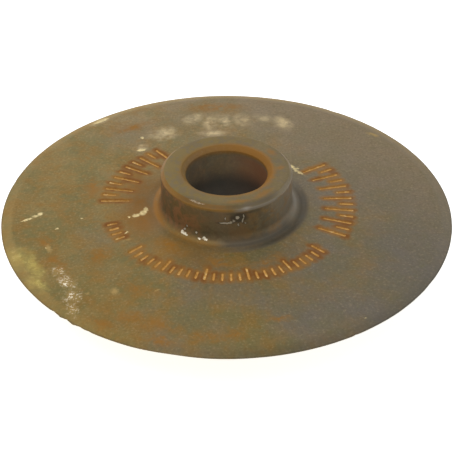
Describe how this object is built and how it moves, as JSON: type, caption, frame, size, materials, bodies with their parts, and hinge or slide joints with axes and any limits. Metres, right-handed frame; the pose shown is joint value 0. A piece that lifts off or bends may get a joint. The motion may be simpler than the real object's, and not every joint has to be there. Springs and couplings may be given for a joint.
{
  "type": "pipe cutter wheel",
  "caption": "Thin tapered steel disc with a ground cutting edge, turned in one piece with a short bored hub standing on both sides, brown with rust.",
  "frame": {"origin": "centre of the wheel: on the axle's axis, in the plane of the cutting edge", "axes": "+Z along the axle out of the hub's upper face, X and Y in the plane of the cutting edge; the picture looks along +Y from above"},
  "size_m": [0.046, 0.046, 0.0104],
  "materials": {
    "rusty_steel": "turned tool steel with a worn brown oxide coat, patches of orange rust, stains and fine bright scratches"
  },
  "bodies": {
    "root": {"cutter_wheel": "rusty_steel"}
  },
  "joints": []
}
